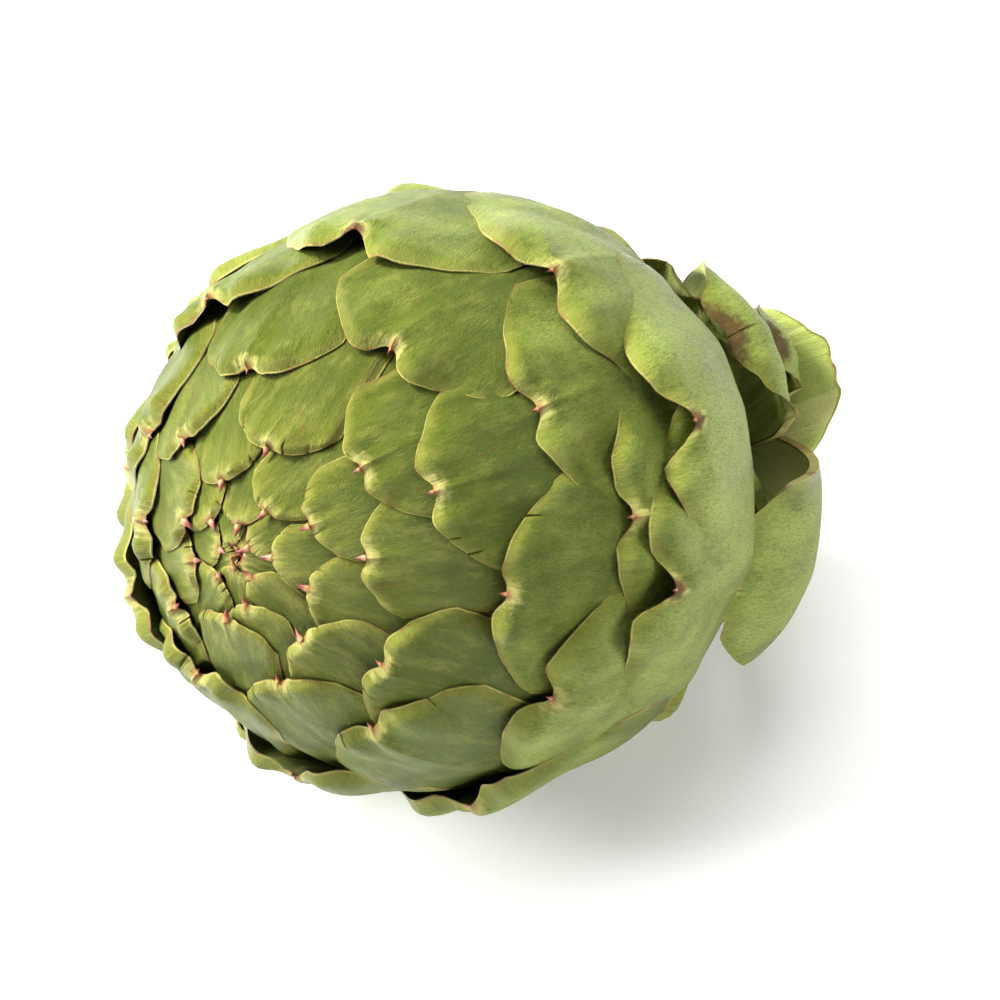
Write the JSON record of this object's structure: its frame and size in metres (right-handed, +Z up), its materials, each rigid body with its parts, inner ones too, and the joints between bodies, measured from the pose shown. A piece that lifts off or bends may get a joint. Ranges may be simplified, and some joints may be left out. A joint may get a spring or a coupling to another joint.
{
  "type": "artichoke",
  "caption": "Globe artichoke lying on its side: a bud of overlapping notched bracts with small spines, loose bracts at its base and a short ribbed cut stem.",
  "frame": {"origin": "on the ground under the middle of the part's box", "axes": "+Z up; the bud's tip points to -X and 31 degrees up, and the cut stem slants down to the ground at +X"},
  "size_m": [0.126, 0.1024, 0.1001],
  "materials": {
    "bract": "waxy green leaf, satin",
    "stem": "ribbed pale green stalk, matte"
  },
  "bodies": {
    "root": {"head": "bract", "stem": "stem"}
  },
  "joints": []
}
